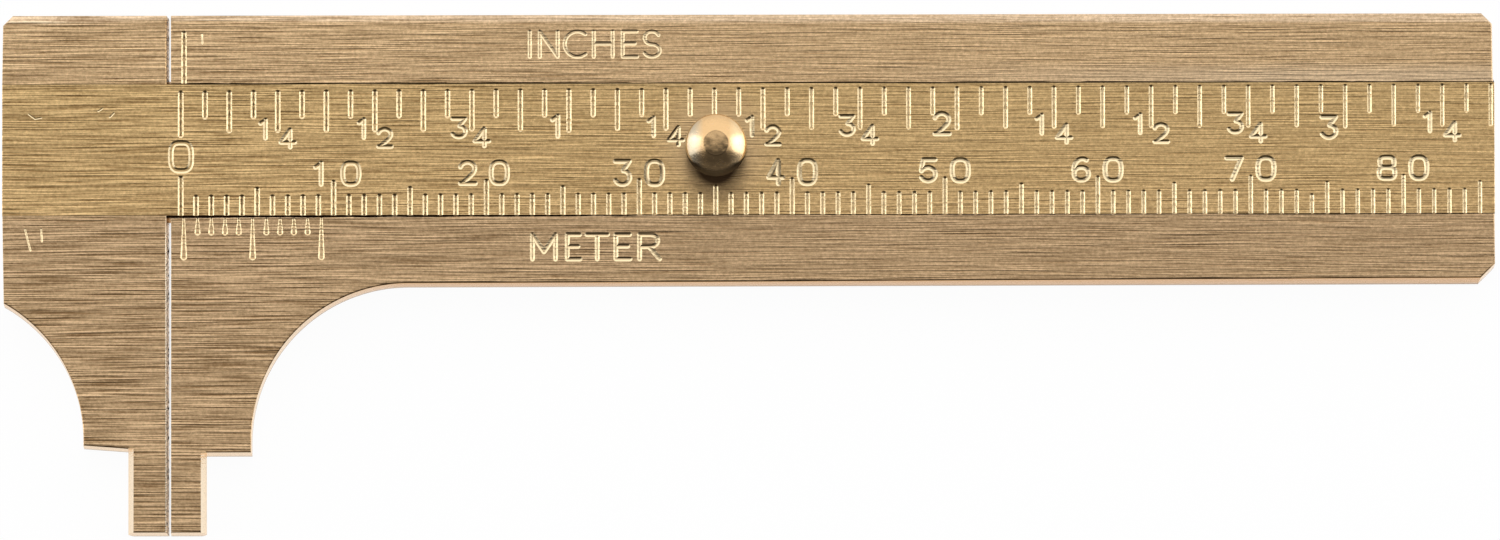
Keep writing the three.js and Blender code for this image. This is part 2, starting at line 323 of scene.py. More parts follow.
def prism(ring, low, high):
    """A closed ring of (x, y) points, filled from one height to another."""
    return loft([np.column_stack((ring, np.full(len(ring), z))) for z in (low, high)])


def lathe(profile, centre, turns=96):
    """A closed solid of revolution about a centre's upright axis: each (radius, height) of the profile is
    carried round a circle. Its first and last point are filled with a face, so neither lies on the axis."""
    angle = np.linspace(0, 2 * math.pi, turns, endpoint=False)
    ring = np.column_stack((np.cos(angle), np.sin(angle)))
    rings = [np.column_stack((ring * radius + centre[:2], np.full(turns, z))) for radius, z in profile]
    return loft(rings)


def across(section, places):
    """A prism along X: a closed section of (y, z) points, set at each place, which is (x, how far in)."""
    rings = []
    for x, inset in places:
        moved = section + inset_directions(section, np.full(len(section), inset))
        rings.append(np.column_stack((np.full(len(section), x), moved)))
    return loft(rings)


def new_mesh(name, solid, stamp=0):
    """A mesh in millimetres from (points, faces). Its faces are turned outwards and numbered by the stamp."""
    points, faces = solid
    mesh = bpy.data.meshes.new(name)
    mesh.from_pydata(points.tolist(), [], faces)
    work = bmesh.new()
    work.from_mesh(mesh)
    bmesh.ops.recalc_face_normals(work, faces=work.faces)
    work.to_mesh(mesh)
    work.free()
    for _ in range(2):
        mesh.materials.append(None)
    mesh.polygons.foreach_set("material_index", np.full(len(mesh.polygons), stamp))
    return mesh


def cut(mesh, groups, stamp=0):
    """The mesh less each group of cutters in turn. Cutters of one group don't touch each other, and the
    faces that they leave are numbered by the stamp: 1 for an engraved mark."""
    for group in groups:
        body = bpy.data.objects.new("body", mesh)
        tool = bpy.data.objects.new("tool", new_mesh("tool", joined(group), stamp))
        for thing in (body, tool):
            bpy.context.scene.collection.objects.link(thing)
        change = body.modifiers.new("cut", "BOOLEAN")
        change.operation = "DIFFERENCE"
        change.solver = "MANIFOLD"
        change.object = tool
        bpy.context.view_layer.update()
        ready = body.evaluated_get(bpy.context.evaluated_depsgraph_get())
        result = bpy.data.meshes.new_from_object(ready)
        if len(result.polygons) < 6:
            raise RuntimeError(f"a cut in {mesh.name} left nothing")
        for thing in (body, tool):
            old = thing.data
            bpy.data.objects.remove(thing)
            bpy.data.meshes.remove(old)
        mesh = result
    return mesh


def finish_piece(name, mesh, material, body, slot, *nodes):
    """Moves a mesh into the frame's place in metres, shades it, and ties it to its body; the slot is not
    used.

    Each face gets the attribute engraved, which is 1 on the faces of a mark and 0 elsewhere.
    """
    mesh.name = name
    points = np.empty(len(mesh.vertices) * 3)
    mesh.vertices.foreach_get("co", points)
    mesh.vertices.foreach_set("co", ((points.reshape(-1, 3) + ORIGIN) * MM).reshape(-1))
    stamps = np.empty(len(mesh.polygons), dtype=np.int32)
    mesh.polygons.foreach_get("material_index", stamps)
    mesh.polygons.foreach_set("material_index", np.zeros(len(stamps), dtype=np.int32))
    mesh.attributes.new("engraved", "FLOAT", "FACE").data.foreach_set("value", stamps.astype(np.float32))
    mesh.materials.clear()
    mesh.materials.append(material)
    mesh.update()
    mesh.shade_smooth()
    mesh.set_sharp_from_angle(angle=SHARP_ANGLE)
    keep_flats_flat(mesh)
    piece = bpy.data.objects.new(name, mesh)
    bpy.context.scene.collection.objects.link(piece)
    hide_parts(*nodes)
    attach(piece, body)


def keep_flats_flat(mesh):
    """Marks the edges round each flat face or back as sharp, so that its shading stays that of a plane."""
    normals = np.empty(len(mesh.polygons) * 3)
    mesh.polygons.foreach_get("normal", normals)
    flat = np.abs(normals.reshape(-1, 3)[:, 2]) > 0.99999
    totals = np.empty(len(mesh.polygons), dtype=int)
    mesh.polygons.foreach_get("loop_total", totals)
    loops = np.empty(len(mesh.loops), dtype=int)
    mesh.loops.foreach_get("edge_index", loops)
    owner = np.repeat(flat, totals)
    touched = np.zeros((len(mesh.edges), 2), dtype=bool)
    np.logical_or.at(touched[:, 0], loops, owner)
    np.logical_or.at(touched[:, 1], loops, ~owner)
    if "sharp_edge" not in mesh.attributes:
        mesh.attributes.new("sharp_edge", "BOOLEAN", "EDGE")
    sharp = np.zeros(len(mesh.edges), dtype=bool)
    mesh.attributes["sharp_edge"].data.foreach_get("value", sharp)
    mesh.attributes["sharp_edge"].data.foreach_set("value", sharp | touched.all(axis=1))


# Signs, on a box one high with x from -0.5 to 0.5 and y from 0 to 1. A stroke in brackets is open, and
# holds points (x, y) and bows; one in parentheses is a closed loop. Strokes that touch are cut one
# after the other.

STROKES = {
    "zero": [(0, 0.5, 0.39, 0.5, 3.1)],
    "0": [(0, 0.5, 0.39, 0.5, 2.7)],
    "1": [[(0.02, 0), (0.02, 1)], [(-0.26, 0.8), (-0.06, 0.93)]],
    "2": [
        [(0, 0.7, 0.37, 0.3, 165, -20), (0.27, 0.47), (0.05, 0.27), (-0.12, 0.13), (-0.22, 0.03)],
        [(-0.36, 0), (0.4, 0)],
    ],
    "3": [[(-0.38, 1), (0.34, 1)], [(0.34, 1), (0.02, 0.6)], [(-0.02, 0.3, 0.38, 0.3, 82, -155)]],
    "4": [[(0.14, 1), (-0.4, 0.27)], [(-0.4, 0.27), (0.42, 0.27)], [(0.16, 0.96), (0.16, 0)]],
    "5": [
        [(-0.26, 1), (0.34, 1)],
        [(-0.27, 0.98), (-0.36, 0.56)],
        [(-0.02, 0.32, 0.38, 0.32, 152, -152, 20)],
    ],
    "6": [[(0.06, 0.5, 0.44, 0.5, 62, 185)], (0, 0.3, 0.37, 0.3, 2.2, 28)],
    "7": [[(-0.38, 1), (0.38, 1)], [(0.38, 1), (-0.1, 0)]],
    "8": [(0, 0.76, 0.36, 0.24, 3.2, 32), (0, 0.26, 0.4, 0.26, 3.2, 32)],
    "I": [[(0, 0), (0, 1)]],
    "N": [[(-0.34, 0), (-0.34, 1)], [(-0.34, 1), (0.34, 0)], [(0.34, 0), (0.34, 1)]],
    "C": [[(0.06, 0.5, 0.44, 0.5, 52, 308, 22)]],
    "H": [[(-0.34, 0), (-0.34, 1)], [(-0.34, 0.52), (0.34, 0.52)], [(0.34, 0), (0.34, 1)]],
    "E": [
        [(-0.3, 0), (-0.3, 1)],
        [(-0.3, 1), (0.3, 1)],
        [(-0.3, 0.52), (0.22, 0.52)],
        [(-0.3, 0), (0.32, 0)],
    ],
    "S": [[(0, 0.745, 0.3, 0.255, 25, 270, 16)], [(0, 0.245, 0.33, 0.245, 90, -155, 16)]],
    "M": [[(-0.4, 0), (-0.4, 1)], [(-0.4, 1), (0, 0.3)], [(0, 0.3), (0.4, 1)], [(0.4, 1), (0.4, 0)]],
    "T": [[(-0.38, 1), (0.38, 1)], [(0, 1), (0, 0)]],
    "R": [
        [(-0.32, 0), (-0.32, 1)],
        [(-0.32, 1), (0.02, 0.75, 0.28, 0.25, 90, -90), (-0.32, 0.5)],
        [(0, 0.5), (0.36, 0)],
    ],
}


def sign_cutters(sign, x, y, high, wide, stroke, flank=0.125):
    """A sign's grooves, one list for each stroke, centred at (x, y) between its outer edges."""
    passes = []
    for parts in STROKES[sign]:
        closed = isinstance(parts, tuple)
        if closed:
            path = loop(*parts)
        else:
            path = np.concatenate([bow(*part) if len(part) > 2 else [part] for part in parts])
        place = np.column_stack((path[:, 0] * wide, (path[:, 1] - 0.5) * (high - stroke)))
        passes.append(groove(place + (x, y), stroke, closed, flank=flank, steepness=0.5))
    return passes


def merge_passes(signs):
    """The strokes of many signs, grouped so that the strokes of one sign are in different groups."""
    most = max(len(sign) for sign in signs)
    return [[sign[i] for sign in signs if len(sign) > i] for i in range(most)]


# Materials

MATH, VECTOR, RANGE, MIX = "ShaderNodeMath", "ShaderNodeVectorMath", "ShaderNodeMapRange", "ShaderNodeMix"
NOISE, SPLIT, DIFFUSE = "ShaderNodeTexNoise", "ShaderNodeSeparateXYZ", "ShaderNodeBsdfDiffuse"


def add_node(tree, kind, *inputs, out=None, named=None, **settings):
    """Adds a node with its settings and links, and gives its first output, or the one that out names.

    Inputs are values or other nodes' outputs, in the order in which the node shows them or by their names.
    """
    node = tree.nodes.new(kind)
    for key, value in settings.items():
        setattr(node, key, value)
    pairs = list(zip([socket for socket in node.inputs if socket.enabled], inputs))
    pairs += [(node.inputs[name], value) for name, value in (named or {}).items()]
    for socket, value in pairs:
        if isinstance(value, bpy.types.NodeSocket):
            tree.links.new(value, socket)
        else:
            socket.default_value = value
    return next((socket for socket in node.outputs if socket.enabled and out in (None, socket.name)), None)


def new_material(name):
    """A material with no nodes yet, and add_node for its tree."""
    material = bpy.data.materials.new(name)
    material.use_nodes = True
    material.node_tree.nodes.clear()
    return material, functools.partial(add_node, material.node_tree)


def product(add, *bands):
    """A mask, which is the product of several bands. A band is a value, the range over which it tells, and
    what the band is below that range and above it."""
    mask = add(RANGE, *bands[0])
    for band in bands[1:]:
        mask = add(MATH, mask, add(RANGE, *band), operation="MULTIPLY")
    return mask


def layered(add, tone, *layers, blend="MIX"):
    """A tone under several layers, each a mask and its colour, or its tint where the blend multiplies."""
    for mask, colour in layers:
        tone = add(MIX, mask, tone, colour, data_type="RGBA", blend_type=blend)
    return tone


def shade(base, factor):
    """A linear colour made darker or lighter by a factor."""
    return [min(1.0, channel * factor) for channel in base[:3]] + [1.0]


def per_size(*sizes):
    """The scale at which one unit of a pattern is as large as the sizes, which are in millimetres."""
    return [1 / (size * MM) for size in sizes]


def brushed_brass(name, base, finish, grain=1.0, jaw_shade=0.0, dirty_sides=0.0, knob_shading_centre=None):
    """Cartridge brass sheet, drawn over an abrasive belt along its length.

    The belt leaves long parallel scratches of many widths, which throw paired light and dark lines
    across the grain; the brass between them is dull and a little browned. The jaws are painted darker
    and duller than the beam, as painted shade. The sheared walls are smoother and paler, with painted
    highlights where they face the lamps and a painted shadow at their foot. The marks were struck later:
    their sides are clean metal, painted lighter or darker by the way they face, and old polish has dried
    in their bottoms. Painted shade lies in specks between the jaws, and a painted shadow round the knob.
    """
    material, add = new_material(name)
    clean, wall_brass, end_brass = map(list, (finish.clean_brass, finish.wall_brass, finish.end_brass))
    coords = add("ShaderNodeTexCoord", out="Object")
    # The same place in millimetres from the caliper's own zero.
    own = add(VECTOR, coords, [1 / MM] * 3, list(-ORIGIN), operation="MULTIPLY_ADD")
    x, y, z = add(SPLIT, own).node.outputs
    normal = add("ShaderNodeNewGeometry", out="Normal")
    sideways, upwards, _ = add(SPLIT, normal).node.outputs
    end_on, side_on, face_on = add(SPLIT, add(VECTOR, normal, operation="ABSOLUTE")).node.outputs
    engraved = add("ShaderNodeAttribute", out="Fac", attribute_name="engraved")
    wall = add(RANGE, face_on, 0.5, 0.62, 1, 0)

    made = {}
    for part, sizes, detail, roughness in (
        ("wander", (26, 8, 8), 1, 0.5),
        ("speckle", (0.24, 0.18, 0.18), 3, 0.85),
        ("specks", (0.16, 0.26, 0.6), 2, 0.5),
    ):
        spread = add(VECTOR, coords, per_size(*sizes), operation="MULTIPLY")
        made[part] = add(NOISE, spread, 1, detail, roughness)
    # The scratches wander by a tenth of a millimetre over a few centimetres of their length.
    sway = add(RANGE, made["wander"], 0.3, 0.7, -0.08 * MM, 0.08 * MM)
    place = add(VECTOR, coords, add("ShaderNodeCombineXYZ", 0, sway), operation="ADD")
    # Streaks: noise in a stretched space, turned so that its own grid lies askew to them. The finest
    # are drawn as wide as a pixel of the photograph, so that they show; real ones are finer still.
    for part, long, wide, shift in (
        ("fine", 3.0, 0.085, 0.0),
        ("middle", 5.0, 0.11, 1.3),
        ("coarse", 9.0, 0.15, 2.6),
        ("broad", 24.0, 1.6, 0.83),
    ):
        stretched = add(
            "ShaderNodeMapping", place, (shift, 0, 0), (0.5, 0.4, 0.6), per_size(long, wide, wide)
        )
        made[part] = add(NOISE, stretched, 1, 0)
    # Nicks: a lens-shaped scratch in each cell of a stretched net, darker or lighter than the rest by half.
    net = add(VECTOR, place, per_size(9.0, 0.2, 1), operation="MULTIPLY")
    centre = add("ShaderNodeTexVoronoi", net, 1, voronoi_dimensions="2D")
    cell = add(MATH, centre.node.outputs["Color"], 0.5, operation="SUBTRACT")
    made["nicks"] = add(MATH, cell, add(RANGE, centre, 0.02, 0.32, 1, 0), operation="MULTIPLY")
    # They are deepest on the jaws, but not on their tips, and fade along the beam.
    depth = product(add, (x, 0, 38, 1.1, 0.5), (y, -9, -5, 1.25, 1), (y, -20.5, -19.5, 0.7, 1))
    for total, start, terms in (
        ("height", 0.0, {"fine": 0.75, "middle": 0.75, "coarse": 0.45, "nicks": 1.35}),
        ("grained", -1.2, {"fine": 1.4, "middle": 0.9, "coarse": 0.1, "nicks": 0.8}),
        ("light", -0.34, {"grained": depth, "broad": 0.05, "speckle": 1.6}),
    ):
        made[total] = start
        for part, weight in terms.items():
            made[total] = add(MATH, made[part], weight, made[total], operation="MULTIPLY_ADD")
    relief = {"Height": made["height"], "Strength": 1.0, "Distance": 0.024 * MM * grain}

    # Painted shade: the jaws' faces are darker and duller than the beam. Troughs are browned and ridges
    # glint.
    shaded_jaws = [channel * (1 - jaw_shade) * lift for channel, lift in zip(base, (1.04, 1.03, 1.05))] + [1.0]
    browned, glint = (0.46, 0.4, 0.33, 1.0), (1.7, 1.75, 1.85, 1.0)
    tone = add(MIX, add(RANGE, y, -5.155, 3.845, 0, 1), shaded_jaws, base, data_type="RGBA")
    troughs = add(RANGE, made["light"], -0.1, 0.5, 0.95, 0)
    ridges = add(RANGE, made["light"], 0.5, 1.1, 0, 1)
    tone = layered(add, tone, (troughs, browned), (ridges, glint), blend="MULTIPLY")
    # Painted highlight: a pale band on the upper rail beside the slide, most of all towards the far end.
    rail_highlight = product(add, (y, 4.9, 5.7, 0.16, 0), (x, 45, 72, 0, 1), (y, 4.33, 4.36, 0, 1))
    layers = [(rail_highlight, end_brass)]
    if knob_shading_centre:
        # Painted reflection: the bar is paler round the knob, where its lit upper side is mirrored.
        knob_glow_distance = add(VECTOR, own, (knob_shading_centre[0], knob_shading_centre[1] + 1.5, knob_shading_centre[2]), operation="DISTANCE")
        layers.append((add(RANGE, knob_glow_distance, 2.2, 4.2, 0.6, 0), list(finish.frame_brass)))
    tone = layered(add, tone, *layers)
    # Painted highlight and shade: eased edges are paler where they face the back, where the light is, and
    # browner where they face the front.
    lit_tint, shade_tint = (1.06, 1.14, 1.36, 1.0), (0.5, 0.45, 0.4, 1.0)
    upper, lower = add(RANGE, upwards, 0.02, 0.12, 0, 1), add(RANGE, upwards, -0.3, -0.05, 1, 0)
    tone = layered(add, tone, (upper, lit_tint), (lower, shade_tint), blend="MULTIPLY")

    # Walls: a painted highlight on those that face the lamps at the ends and on the tips, and a painted
    # shadow at the foot, where they meet the floor.
    wall_highlight = add(MATH, end_on, add(RANGE, y, -19.5, -17, 0.75, 0), operation="MAXIMUM")
    foot = add(RANGE, z, 0.4, 0.8, 0.75, 0)
    wall_tone = layered(add, wall_brass, (wall_highlight, end_brass), (foot, shade(base, 0.3)))
    # Painted highlight: a cream line along the rounded edges of the measuring faces, on the jaws below the
    # bar.
    edge_highlight = product(
        add, (end_on, 0.12, 0.3, 0, 0.8), (x, -0.45, -0.4, 0, 1), (x, 0.05, 0.1, 1, 0), (y, -6, -4, 1, 0)
    )
    edge_highlight = add(MATH, edge_highlight, wall, operation="SUBTRACT", use_clamp=True)

    # Marks: their clean sides are painted in light and shade. Sides that face the back are painted brighter
    # and those that face the front darker, and sides that face right are painted darker than those that face
    # left, the more so along the bar.
    along = add(RANGE, x, 0, 60, 0, 1)
    lean = add(RANGE, add(MATH, sideways, along, operation="MULTIPLY"), -0.6, 0.6, 0, 1)
    mark_tone_lit_and_shaded = layered(
        add,
        shade(clean, 1.36),
        (lean, shade(clean, 0.66)),
        (add(RANGE, end_on, 0.3, 0.58, 1, 0), shade(clean, 1.35)),
        (add(RANGE, face_on, 0.92, 0.98, 0, 1), layered(add, shade(base, 0.92), (along, clean))),
        (add(RANGE, upwards, -0.4, -0.2, 1, 0), shade(base, 0.6)),
    )
    tone = layered(add, tone, (wall, wall_tone), (edge_highlight, end_brass), (engraved, mark_tone_lit_and_shaded))

    # Dirt and painted shade: old polish in the marks and dirt on the bar's sides, painted shade in specks
    # between the jaws, and a painted shadow round the knob's foot.
    specks = made["specks"]
    polish = product(
        add, (z, FACE - 0.113, FACE - 0.092, 1, 0), (specks, 0.4, 0.58, 0.8, 0.1), (x, 6, 40, 1, 0.3)
    )
    # Painted shade in specks, low on the measuring faces between the jaws.
    between = product(
        add,
        (x, -0.4, -0.3, 0, 1),
        (end_on, 0.9, 0.97, 0, 1),
        (x, 0.1, 0.2, 1, 0),
        (specks, 0.4, 0.47, 1, 0),
        (z, FACE - 1.1, FACE - 0.7, 1, 0),
    )
    sides = add(RANGE, side_on, 0.4, 0.5, 0, dirty_sides)
    sides = add(MATH, sides, engraved, operation="SUBTRACT", use_clamp=True)
    sides = add(MATH, sides, add(RANGE, z, FACE - 0.9, FACE - 0.5, 0.3, 1), operation="MULTIPLY")
    places = [between, sides]
    if knob_shading_centre:
        # Painted shadow: a dark patch on the bar at the knob's front edge, and a faint wider one round it.
        knob_shadow_distance = add(VECTOR, own, knob_shading_centre, operation="DISTANCE")
        places += [add(RANGE, knob_shadow_distance, 1.1, 1.5, 0.95, 0), add(RANGE, knob_shadow_distance, 1.2, 2.6, 0.14, 0)]
    dirt_and_shade = add(MATH, engraved, polish, operation="MULTIPLY")
    for dark_patch in places:
        dirt_and_shade = add(MATH, dirt_and_shade, dark_patch, operation="MAXIMUM")

    rough = add(RANGE, made["fine"], 0.3, 0.7, 0.26, 0.4)
    for smoother, own_rough in ((wall, 0.16), (engraved, 0.3)):
        rough = add(RANGE, smoother, 0, 1, rough, own_rough)
    sheen = {
        "Base Color": tone,
        "Metallic": 1.0,
        "Roughness": rough,
        "Specular Tint": (1.0, 0.86, 0.72, 1.0),
        "Anisotropic": add(RANGE, engraved, 0, 1, 0.8, 0),
        "Tangent": add("ShaderNodeTangent", direction_type="RADIAL", axis="X"),
        "Normal": add("ShaderNodeBump", named=relief),
    }
    metal = add("ShaderNodeBsdfPrincipled", named=sheen)
    # A dark diffuse coat where the dirt and the painted shade lie.
    dark_coat = add(DIFFUSE, list(finish.grime))
    add("ShaderNodeOutputMaterial", add("ShaderNodeMixShader", dirt_and_shade, metal, dark_coat))
    return material


def polished_brass(name, base, centre, facet, top):
    """Brass rod, turned and then polished by hand: bright, with a tarnished, blotchy flat top and a few
    fine scratches across the ball below it. Sizes and the ball's centre are in millimetres."""
    material, add = new_material(name)
    # The place in millimetres from the ball's centre.
    coords = add("ShaderNodeTexCoord", out="Object")
    own = add(VECTOR, coords, [1 / MM] * 3, list(-centre), operation="MULTIPLY_ADD")
    x, y, z = add(SPLIT, own).node.outputs
    radius = add(VECTOR, add("ShaderNodeCombineXYZ", x, y), operation="LENGTH")
    blotch, scuffs = (
        add(NOISE, add(VECTOR, own, [1 / size for size in sizes], operation="MULTIPLY"), 1, detail)
        for sizes, detail in (((0.55, 0.4, 0.5), 4), ((0.7, 0.07, 0.07), 1))
    )
    height = add(MATH, add(RANGE, scuffs, 0.3, 0.42, 0, 1), 1.5, blotch, operation="MULTIPLY_ADD")
    relief = {"Height": height, "Strength": 1.0, "Distance": 0.0018 * MM}

    # Painted light: the flat top's tarnish is lighter towards its upper part; painted shade: the ball's
    # underside and lower front are dark.
    facet_light = add(MATH, y, 0.25 / facet, blotch, operation="MULTIPLY_ADD")
    tarnish_and_shade = layered(add, shade(base, 0.13), (add(RANGE, facet_light, 0.32, 0.72, 0, 1), shade(base, 0.95)))
    on_flat = product(add, (radius, facet, facet * 1.08, 1, 0), (z, top * 0.97, top * 0.99, 0, 1))
    # Painted shade: the ball's underside and lower front are painted dark.
    height_over_shade = add(MATH, z, add(RANGE, y, -1.3, -0.2, 1.15, -0.05), operation="SUBTRACT")
    shaded_underside = add(RANGE, height_over_shade, -0.1, 0.15, 1, 0)
    tone = layered(
        add,
        shade(base, 0.92),
        (blotch, shade(base, 1.05)),
        (on_flat, tarnish_and_shade),
        # Painted highlight on the right cheek and painted shade on the left cheek.
        (add(RANGE, x, 0.8, 1.3, 0, 0.35), to_linear("#FFEABF")),
        (add(RANGE, x, -1.4, -0.8, 1, 0), to_linear("#C2B399")),
        (shaded_underside, shade(base, 0.06)),
    )
    sheen = {
        "Base Color": tone,
        "Metallic": 1.0,
        "Roughness": add(RANGE, blotch, 0.35, 0.65, 0.2, 0.28),
        "Normal": add("ShaderNodeBump", named=relief),
    }
    metal = add("ShaderNodeBsdfPrincipled", named=sheen)
    # The dark coat of painted shade under the ball, a little lighter at the front rim.
    dark_coat = layered(add, shade(base, 0.17), (add(RANGE, y, -1.95, -1.4, 0, 1), shade(base, 0.05)))
    shaded_underside = add(MATH, shaded_underside, 0.85, operation="MULTIPLY")
    add("ShaderNodeOutputMaterial", add("ShaderNodeMixShader", shaded_underside, metal, add(DIFFUSE, dark_coat)))
    return material


def floor_paper(name, white):
    """White seamless paper: the camera sees it as plain white and it takes a faint shadow. The brass
    sees it white too, but fading into the dark front of the room from a few centimetres before the
    object."""
    material, add = new_material(name)
    rays = add("ShaderNodeLightPath").node.outputs
    camera = rays["Is Camera Ray"]
    depth = add(SPLIT, add("ShaderNodeTexCoord", out="Object"), out="Y")
    fading = add(RANGE, depth, -0.06, -0.024, 0.06, 1.0)
    glow = add("ShaderNodeEmission", white, add(MATH, fading, camera, operation="MAXIMUM"))
    seen = camera
    for ray in ("Is Glossy Ray", "Is Transmission Ray"):
        seen = add(MATH, seen, rays[ray], operation="MAXIMUM")
    seen = add(MATH, seen, 0.96, operation="MULTIPLY")
    add("ShaderNodeOutputMaterial", add("ShaderNodeMixShader", seen, add(DIFFUSE, white), glow))
    return material


# Outlines and cutters of the pieces


def edge_rows(*parts):
    """Rows of an outline: each part is its points, then its edges' lean and reach, as values or ranges."""
    rows = []
    for points, lean, reach in parts:
        points = np.atleast_2d(points)
        leans = np.linspace(*lean, len(points)) if isinstance(lean, tuple) else np.full(len(points), lean)
        rows.append(np.column_stack((points, leans, np.full(len(points), reach))))
    return np.concatenate(rows)


def frame_outline(sizes):
    """The frame's outline, anticlockwise from the foot of the measuring face."""
    low = -sizes.bar_width / 2 - sizes.rail_low
    left, right = low - sizes.low_slant, low + sizes.low_slant
    arc, crisp = sizes.jaw_arc, sizes.crisp_edge
    arc_x, arc_y = sizes.fixed_jaw + arc, left - arc
    shoulder = arc_y - sizes.fixed_straight
    corner = LENGTH - sizes.corner_low
    low_run = np.column_stack((np.linspace(arc_x, corner, 12), np.linspace(left, right, 12)))[1:]
    # The measuring face's foot, how far the far end's upper half falls back, and an edge left all but square.
    face, fall_back, square = -0.03, 0.14, crisp * 0.3
    return edge_rows(
        ([face, TIP_END], 0.01, crisp),
        ([sizes.fixed_tip, TIP_END], 0, crisp),
        ([sizes.fixed_tip, shoulder], sizes.lean_left, crisp * 1.5),
        ([sizes.fixed_jaw, shoulder], 0.02, crisp),
        (bow(arc_x, arc_y, arc, arc, 180, 90, 64), (0.02, sizes.lean_left), crisp),
        (low_run[:-1], (sizes.lean_left, sizes.lean_right), crisp),
        (low_run[-1], 0.04, crisp),
        ([LENGTH, right + sizes.corner_low], 0, crisp),
        ([LENGTH - 0.04, 0], 0, crisp),
        ([LENGTH - fall_back, TOP_EDGE - sizes.corner_top], 0, crisp),
        ([LENGTH - fall_back - sizes.corner_top, TOP_EDGE], 0, sizes.soft_edge),
        ([face, TOP_EDGE], 0.02, square),
        ([face, TOP_EDGE - 1], 0.02, square),
    )


def head_outline(sizes):
    """The head's outline, anticlockwise from the tip's outer foot."""
    low = -sizes.bar_width / 2 - sizes.rail_low
    arc, crisp = sizes.jaw_arc, sizes.crisp_edge
    arc_x, arc_y = HEAD_RIGHT - sizes.moving_jaw - arc, low - arc
    shoulder = arc_y - sizes.moving_straight
    start = math.degrees(math.acos((HEAD_LEFT + 0.1 - arc_x) / arc))
    tip = HEAD_RIGHT - sizes.moving_tip
    # The measuring face's foot and its lean, the head's upper left, and an edge left all but square.
    face, lean, left, square = HEAD_RIGHT + 0.03, 0.12, HEAD_LEFT + 0.05, crisp * 0.3
    return edge_rows(
        ([tip, TIP_END], 0.01, crisp),
        ([face, TIP_END], lean, crisp),
        ([face, TOP_EDGE - 1], lean, crisp),
        ([face, TOP_EDGE], 0, sizes.soft_edge),
        ([left + sizes.corner_head, TOP_EDGE], 0, crisp),
        ([left, TOP_EDGE - sizes.corner_head], 0, square),
        ([HEAD_LEFT, 4.4], 0, square),
        ([HEAD_LEFT, -3.6], 0, square),
        (bow(arc_x, arc_y, arc, arc, start, 0, 64), (sizes.lean_left, 0.02), crisp),
        ([HEAD_RIGHT - sizes.moving_jaw, shoulder], 0, crisp * 1.5),
        ([tip, shoulder - sizes.shoulder_fall], 0, crisp),
    )


def bar_section(sizes):
    """The bar's dovetail section as (y, z) points, anticlockwise seen from the right end."""
    half = sizes.bar_width / 2
    return np.array([(-BAR_BASE_HALF, BAR_BASE), (BAR_BASE_HALF, BAR_BASE), (half, FACE), (-half, FACE)])


def tip_shaver(sizes, inner, sign, width, shoulder):
    """The metal taken off a tip's outer side: what lies outside a bulge that stands out by tip_bulge at
    half the thickness, with x = width - bulge (2 z / thickness - 1) squared, carried along the tip."""
    share_up = np.linspace(-0.08, 1.08, 25)
    curve = inner + sign * (width - sizes.tip_bulge * (2 * share_up - 1) ** 2)
    beyond = np.full(len(curve), inner + sign * (width + 1.0))
    x, z = np.concatenate((curve, beyond)), np.concatenate((share_up, share_up[::-1])) * FACE
    return loft([np.column_stack((x, np.full(len(x), y), z)) for y in (TIP_END - 0.5, shoulder + 0.001)])


def channel_cutter(sizes, floor, x, high, low):
    """A dovetail channel carried along X: at each x its mouth reaches from low to high, its sides lean
    outwards on the way down to the floor, as the bar's do, and the mouth's two edges are eased."""
    lean = (BAR_BASE_HALF - sizes.bar_width / 2) / (FACE - BAR_BASE)
    ease, deep = 0.03, FACE - floor
    out = np.array([deep * lean, deep * lean, ease * lean, ease, ease, ease, ease, ease * lean])
    height = np.array([floor, floor, FACE - ease, FACE, FACE + 1, FACE + 1, FACE, FACE - ease])
    upper = np.array([0, 1, 1, 1, 1, 0, 0, 0])
    x, high, low = (np.asarray(value, dtype=float)[:, None] for value in (x, high, low))
    y = np.where(upper, high + out, low - out)
    rings = np.stack((np.broadcast_to(x, y.shape), y, np.broadcast_to(height, y.shape)), axis=-1)
    return loft(list(rings))


def worn_channel(sizes):
    """The frame's channel. Wear has left the two joints beside the bar uneven by a few hundredths of a
    millimetre, and the lower one is widest at the jaws."""
    worn = np.random.default_rng(11)
    half = sizes.bar_width / 2
    x = np.concatenate(([-0.5], np.sort(worn.uniform(1, LENGTH - 1, 60)), [LENGTH + 0.5]))
    high = half + sizes.play_top + worn.uniform(-0.03, 0.025, len(x))
    low = -half - np.interp(x, (0, 0.45 * LENGTH), (sizes.play_left, sizes.play_right))
    low -= worn.uniform(-0.02, 0.03, len(x))
    return channel_cutter(sizes, BAR_BASE - sizes.floor_play, x, high, low)


def stop_slot():
    """The groove in the channel's floor in which the stop pin runs, round at the end of its travel."""
    low, high = box_of("stop_pin", ORIGIN)
    x, y, _ = (low + high) / 2
    x -= frame["joints"][0]["range_m"][1] / MM
    room = 0.12
    half, end = (high[1] - low[1]) / 2 + room, LENGTH + 0.5
    ring = np.concatenate((bow(x, y, half, half, 90, 270, 16), [(end, y - half), (end, y + half)]))
    return prism(ring, low[2] - room, FACE)


def spring_pocket():
    """The pocket in the channel's floor that holds the leaf spring."""
    low, high = box_of("friction_spring", ORIGIN)
    room = 0.15
    (x0, y0, z), (x1, y1, _) = low - (room, room, 0), high + room
    return prism([(x0, y0), (x1, y0), (x1, y1), (x0, y1)], z, FACE)


def vernier_cutters(marks, edge, zero):
    """Eleven drop-shaped marks below the bar: each starts as a point at the rail's edge and widens
    downwards to its round end. The first, middle and last are the long ones."""
    solids = []
    for n in range(11):
        fall, broad = (2.6, 0.43) if n % 5 == 0 else (0.98, 0.4)
        x = np.full(8, zero + n * marks.vernier_step)
        y = np.linspace(edge - 0.06, edge - fall, 8)
        solids.append(groove(np.column_stack((x, y)), np.linspace(0.16, broad, 8), flank=0.1))
    return solids


